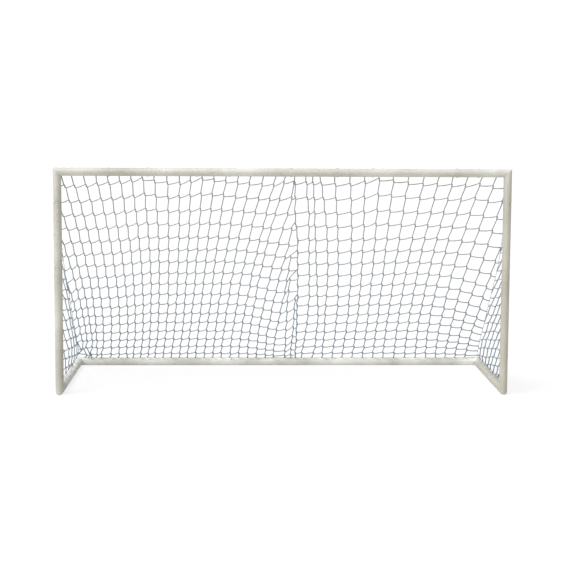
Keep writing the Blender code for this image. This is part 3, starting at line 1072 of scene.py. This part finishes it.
# %% Make the cord finishes
# Each pair is the colour high up and low down. The grey is painted shade of a pale cord, the bluer low
# colours are painted shade towards the ground, the darker columns are painted shade and the paler rows are
# painted light.
CORD_COLOURS = {
    "columns": ((0.410, 0.435, 0.445), (0.235, 0.350, 0.460)),
    "rows": ((0.480, 0.475, 0.455), (0.400, 0.420, 0.425)),
    "ropes": ((0.500, 0.500, 0.480), (0.450, 0.470, 0.480)),
}
CORD_SHADED_BELOW = 0.2
CORD_UNSHADED_ABOVE = 1.4
DUST_SCALE = 9
DUST_SHADE = 0.8
FIBRE_SCALE = 700
FIBRE_SHADE = 0.6
FIBRE_BUMP = (0.0006, 0.5)


def darker(colour, share):
    return tuple(value * share for value in colour)


def net_cord(name, high, low):
    material, tree, shader = new_material(name)
    height = add_coordinate(tree, "Object", "Z")
    # Painted shade: the cord turns bluer and darker towards the ground.
    low_shade = add_range(tree, height, CORD_SHADED_BELOW, CORD_UNSHADED_ABOVE, 1, 0)
    dust = add_range(tree, add_noise(tree, DUST_SCALE, 5), 0.35, 0.7, 0, 0.3)
    fibres = add_noise(tree, FIBRE_SCALE, 3)
    shade = add_range(tree, fibres, 0.3, 0.7, 0, 0.3)
    colour = add_mix(tree, low_shade, high, low)
    colour = add_mix(tree, dust, colour, darker(low, DUST_SHADE))
    join(tree, shader, {
        "Base Color": add_mix(tree, shade, colour, darker(low, FIBRE_SHADE)),
        "Roughness": add_range(tree, fibres, 0.3, 0.7, 0.55, 0.8),
        "Normal": add_bump(tree, fibres, *FIBRE_BUMP),
    })
    return material


CORD_FINISH = {kind: net_cord("net_cord_" + kind, *colours) for kind, colours in CORD_COLOURS.items()}


# %% Add the back net
def add_cords(name, kind, routes, radius, *nodes, resolution=1):
    """A piece of the net: all its cords of one kind."""
    mesh = cord_mesh(name, routes, radius, resolution)
    add_piece(name, mesh, CORD_FINISH[kind], *nodes)
    print(name, "cords", len(routes), "faces", len(mesh.polygons))


add_cords("back_net_columns", "columns", column_routes, COLUMN_RADIUS, "net_back")
add_cords("back_net_rows", "rows", row_routes, ROW_RADIUS)

# %% [markdown]
# ## The side nets
#
# Each end is closed by a triangle of the same mesh. It is slack and hangs askew: its rows fall a little
# towards the rear and its columns lean back, so its cells are sheared, and it bellies inwards between
# the post and the seam. The lines are laid out on a lattice and kept where they cross the triangle.

# %% Tie the side nets
SIDE_PITCH = 0.150
ROWS_FALL = {"left": math.radians(7), "right": math.radians(10)}
COLUMNS_FALL = {"left": math.radians(42), "right": math.radians(40)}
SIDE_BELLY = {"left": 0.040, "right": 0.006}
BELLY_DEPTH = 0.5
SIDE_SLIM = {"left": 0.85, "right": 0.92}
SIDE_STRETCH = {"left": 1.25, "right": 1}
SIDE_SEEDS = {"left": 3, "right": 5}
SIDE_UNREST = 0.007
LATTICE_HEIGHT = 0.525
LATTICE_STEPS = 30
NARROWEST = 0.02
HALVINGS = 20
EDGE_STEPS = 400
fall_edge = [fall_point(step / EDGE_STEPS) for step in range(EDGE_STEPS + 1)]
edge_heights = [(point.y, point.z) for point in fall_edge]
edge_depths = sorted((point.z, point.y) for point in fall_edge)
edge_shares = sorted((point.z, step / EDGE_STEPS) for step, point in enumerate(fall_edge))
SEAM_TOP = min(spread(SIDE_NET_FRONT, edge_heights), NET_TOP.z)


def in_triangle(place):
    return SIDE_NET_FRONT < place.y < NET_FOOT.y and NET_FOOT.z < place.z < spread(place.y, edge_heights)


def back_down(angle):
    """The direction that falls by an angle towards the rear, in the plane of a side net."""
    return Vector((0, math.cos(angle), -math.sin(angle)))


def side_net_routes(side, sign):
    shake = random.Random(SIDE_SEEDS[side])
    along = back_down(ROWS_FALL[side]) * SIDE_PITCH * SIDE_STRETCH[side]
    down = back_down(COLUMNS_FALL[side]) * SIDE_PITCH
    origin = Vector((0, SIDE_NET_FRONT, LATTICE_HEIGHT))
    reach = range(-LATTICE_STEPS, LATTICE_STEPS + 1)
    flat = {(a, b): origin + along * a + down * b for a in reach for b in reach}
    kept = {key for key, place in flat.items() if in_triangle(place)}
    unrest = {
        key: Vector((0, shake.uniform(-1, 1), shake.uniform(-1, 1))) * SIDE_UNREST for key in sorted(kept)
    }

    def hung(place):
        """A place of the flat triangle on the slack net."""
        height = min(max(place.z, NET_FOOT.z), SEAM_TOP)
        width = max(spread(height, edge_depths) - SIDE_NET_FRONT, NARROWEST)
        share = min(max((place.y - SIDE_NET_FRONT) / width, 0), 1)
        belly = SIDE_BELLY[side] * min(width / BELLY_DEPTH, 1)
        belly *= min((height - NET_FOOT.z) / BELLY_DEPTH * 2, 1)
        seam = abs(seam_x(sign, spread(height, edge_shares)))
        inwards = (SIDE_NET_X - seam) * share ** 2 + belly * math.sin(math.pi * share)
        return Vector((sign * (SIDE_NET_X - inwards), place.y, place.z))

    def edge_place(key, other):
        """The place between a knot inside and one outside where the cord meets an edge."""
        inner, outer = flat[key], flat[other]
        for _ in range(HALVINGS):
            halfway = (inner + outer) / 2
            if in_triangle(halfway):
                inner = halfway
            else:
                outer = halfway
        return inner

    def end_on(place):
        """A cord's end, hitched where it meets the rope of the ground bar or of the post."""
        spot = hung(place)
        if place.z < NET_FOOT.z + COLUMN_RADIUS:
            spot.x = SIDE_NET_X * sign
            return tie_on(spot, Y, Z, "side")
        if place.y < SIDE_NET_FRONT + COLUMN_RADIUS:
            return tie_on(spot, Z, Y, "post")
        return spot

    def off_tubes(place):
        """A place of a knot, kept behind the post's rope and above the ground bar's."""
        y = max(place.y, SIDE_NET_FRONT + WIND_RADIUS)
        return Vector((place.x, y, max(place.z, NET_FOOT.z + WIND_RADIUS)))

    rows = []
    columns = []
    for line in reach:
        for family, cords in (("row", rows), ("column", columns)):
            run = [(a, line) if family == "row" else (line, a) for a in reach]
            inner = [index for index, key in enumerate(run) if key in kept]
            if not inner:
                continue
            first, last = inner[0], inner[-1]
            route = [end_on(edge_place(run[first], run[first - 1]))]
            for index in range(first, last + 1):
                place = hung(flat[run[index]] + unrest[run[index]])
                half_knot = (down.normalized() * KNOT_HEIGHT + along.normalized() * KNOT_WIDTH) / 2
                ends = (off_tubes(place - half_knot), off_tubes(place + half_knot))
                route += ends if family == "row" else winding(*ends, X * sign)
            cords.append(route + [end_on(edge_place(run[last], run[last + 1]))])
    return rows, columns


# %% [markdown]
# ## Edge ropes
#
# A rope runs all round each panel, in the hooks of the clips: along the crossbar and the rear bar, down
# the posts and along the ground bars. A thin cord laces each side net to the back net down their seam.

# %% Tie the edge ropes and add the side nets
SEAM_STEPS = 36
SEAM_END = 0.003
BAR_STEPS = 80
POST_STEPS = 40
SIDE_STEPS = 30


def straight(start, end, steps):
    return [start.lerp(end, step / steps) for step in range(steps + 1)]


shares = [SEAM_END + (1 - 2 * SEAM_END) * step / SEAM_STEPS for step in range(SEAM_STEPS + 1)]
ropes = [straight(place - X * NET_HALF, place + X * NET_HALF, BAR_STEPS) for place in (NET_TOP, NET_FOOT)]
for side, sign in ENDS:
    lacings.append([net_place(share, seam_x(sign, share)) for share in shares])
    out = X * (SIDE_NET_X * sign)
    post_top = Vector((0, SIDE_NET_FRONT, SEAM_TOP)) + out
    post_foot = Vector((0, SIDE_NET_FRONT, NET_FOOT.z)) + out
    down_post = straight(post_top, post_foot, POST_STEPS)
    ropes.append(down_post + straight(post_foot, NET_FOOT + out, SIDE_STEPS)[1:])
    rows, columns = side_net_routes(side, sign)
    name = f"side_net_{side}_"
    slim = SIDE_SLIM[side]
    add_cords(name + "columns", "columns", columns, COLUMN_RADIUS * slim, f"net_{side}")
    add_cords(name + "rows", "rows", rows, ROW_RADIUS * slim)
add_cords("net_ropes", "ropes", ropes, ROPE_RADIUS, resolution=2)
add_cords("net_lacings", "columns", lacings, LACING_RADIUS)

# %% [markdown]
# ## Net clips
#
# The ropes sit in small hooks on clips, which snap round a little more than half of a tube. The section
# of a clip is one outline of arcs: the band inside and outside, the hook round the rope, and a half
# round at each free end. Nylon clips are moulded, so the section is extruded to the clip's width and
# its rims are rounded. Each packed clip gets a finer one. Some more stand between them: on the crossbar
# where the net is tied up, and on the other bars to share the load.

# %% Mould the clips
CLIP_WIDTH = 0.014
CLIP_WRAP = math.radians(200)
CLIP_STEPS = 28
CLIP_EASE = 0.0003
CLIP_RIM = 0.0004
CLIP_SHARP = math.radians(60)
HOOK_RADIUS = ROPE_RADIUS + HOOK_EASE
HOOK_WALL = 0.0022
HOOK_TIP = math.radians(60)
HOOK_STEPS = 20
END_STEPS = 8


def arc(centre, radius, first, last, steps):
    angles = [first + (last - first) * step / steps for step in range(steps + 1)]
    x, y = centre
    return [(x + radius * math.cos(angle), y + radius * math.sin(angle)) for angle in angles]


def rounded_end(centre, radius, angle, wall, first):
    """A half round that closes a band of some thickness at an angle of its arc."""
    middle_of_end = arc(centre, radius, angle, angle, 1)[0]
    return arc(middle_of_end, wall / 2, first, first + math.pi, END_STEPS)[1:-1]


def clip_mesh(name, matrix):
    """A clip with local Z along its tube, local X towards the rope and the hook open towards local Y."""
    half_wrap = CLIP_WRAP / 2
    inner = TUBE_RADIUS + CLIP_EASE
    wall = CLIP_OUTER - inner
    hook_outer = HOOK_RADIUS + HOOK_WALL
    tube, rope = (0, 0), (CORD_HOLD, 0)
    section = arc(tube, inner, half_wrap, -half_wrap, CLIP_STEPS)
    section += rounded_end(tube, inner + wall / 2, -half_wrap, wall, -half_wrap - math.pi)
    section += arc(tube, CLIP_OUTER, -half_wrap, -math.asin(hook_outer / CLIP_OUTER), CLIP_STEPS // 2)
    section += arc(rope, hook_outer, -math.pi / 2, HOOK_TIP, HOOK_STEPS)
    section += rounded_end(rope, HOOK_RADIUS + HOOK_WALL / 2, HOOK_TIP, HOOK_WALL, HOOK_TIP)
    section += arc(rope, HOOK_RADIUS, HOOK_TIP, -math.pi / 2, HOOK_STEPS)
    section += arc(tube, CLIP_OUTER, -math.asin(HOOK_RADIUS / CLIP_OUTER), half_wrap, CLIP_STEPS // 2)
    section += rounded_end(tube, inner + wall / 2, half_wrap, wall, half_wrap)
    bm = bmesh.new()
    face = bm.faces.new([bm.verts.new((x, y, -CLIP_WIDTH / 2)) for x, y in section])
    raised = bmesh.ops.extrude_face_region(bm, geom=[face], use_keep_orig=True)["geom"]
    raised = [item for item in raised if isinstance(item, bmesh.types.BMVert)]
    bmesh.ops.translate(bm, verts=raised, vec=Z * CLIP_WIDTH)
    bmesh.ops.recalc_face_normals(bm, faces=bm.faces)
    soften(bm, CLIP_RIM, CLIP_SHARP)
    bm.transform(matrix)
    return to_mesh(bm, name)


# %% Snap the clips on
MORE_CLIPS = {
    ("crossbar", 1): (-1.12, -0.715, 0.063, 0.74, 1.62),
    ("rear", 1): (-0.985, 0, 0.93),
    ("post", -1): (1.075, 1.62),
    ("post", 1): (1.085, 1.635),
    ("side", -1): (-0.18, 0.20),
    ("side", 1): (-0.21, 0.16),
}


def facing(place, towards_rope, hook_open):
    """A clip's matrix, from its place, the way to its rope and the way its hook opens."""
    to_rope, opening = towards_rope.normalized(), hook_open.normalized()
    return frame_matrix(place, to_rope, to_rope.cross(opening))


def clip_stand(kind, sign, reach):
    """A clip's matrix, from its kind, its side of the goal and its place along its tube."""
    out = X * sign
    if kind == "crossbar":
        return facing(Vector((reach, CROSSBAR.y, CROSSBAR.z)), Y, Z)
    if kind == "rear":
        return facing(Vector((reach, REAR_BAR.y, GROUND_Z)), Y + Z, Y - Z)
    if kind == "post":
        return facing(Vector((POST_X * sign, CROSSBAR.y, reach)), out + Y, out - Y)
    return facing(Vector((POST_X * sign, reach, GROUND_Z)), out + Z, out - Z)


clips = [node for node in frame["nodes"] if node.startswith("clip_")]
for node in clips:
    kind = node.split("_")[1]
    sign = -1 if node.endswith("left") else 1
    along = {"crossbar": X, "rear": X, "post": Z, "side": Y}[kind]
    matrix = clip_stand(kind, sign, middle(node).dot(along))
    add_piece(node + "_moulded", clip_mesh(node, matrix), CLIP_FINISH, node)
more = [(kind, sign, reach) for (kind, sign), places in MORE_CLIPS.items() for reach in places]
for number, stand in enumerate(more, 1):
    name = f"clip_{stand[0]}_tie_{number}"
    add_piece(name, clip_mesh(name, clip_stand(*stand)), CLIP_FINISH)
print("clips", len(clips), "and", len(more), "more")

# %% [markdown]
# ## The floor
#
# A plain pale floor catches the soft shadow. It gives off a little white of its own, like a lit studio
# table, and more of it towards the camera, so that it joins the white of the sky.

# %% Lay the floor
FLOOR_WHITE = 0.72
FLOOR_SEEN = 0.80
FLOOR_GLOW = 0.20
FLOOR_SIZE = 90
FLOOR_GAP = 0.0005


def add_floor():
    bm = bmesh.new()
    bmesh.ops.create_grid(
        bm, x_segments=1, y_segments=1, size=FLOOR_SIZE, matrix=Matrix.Translation(-Z * FLOOR_GAP),
    )
    floor = add_object("floor", to_mesh(bm, "floor"))
    material, tree, shader = new_material("floor_white")
    seen = add_node(tree, "LightPath").outputs["Is Camera Ray"]
    colour = add_mix(tree, seen, (FLOOR_WHITE,) * 3, WHITE[:3])
    join(tree, shader, {"Base Color": colour, "Roughness": 1, "Specular IOR Level": 0})
    glow = add_node(tree, "Emission", {"Color": WHITE, "Strength": 1}).outputs[0]
    share = add_range(tree, seen, 0, 1, FLOOR_GLOW, FLOOR_SEEN)
    both = add_node(tree, "MixShader", {0: share, 1: shader.outputs[0], 2: glow}).outputs[0]
    join(tree, tree.nodes["Material Output"], {"Surface": both})
    floor.data.materials.append(material)


add_floor()
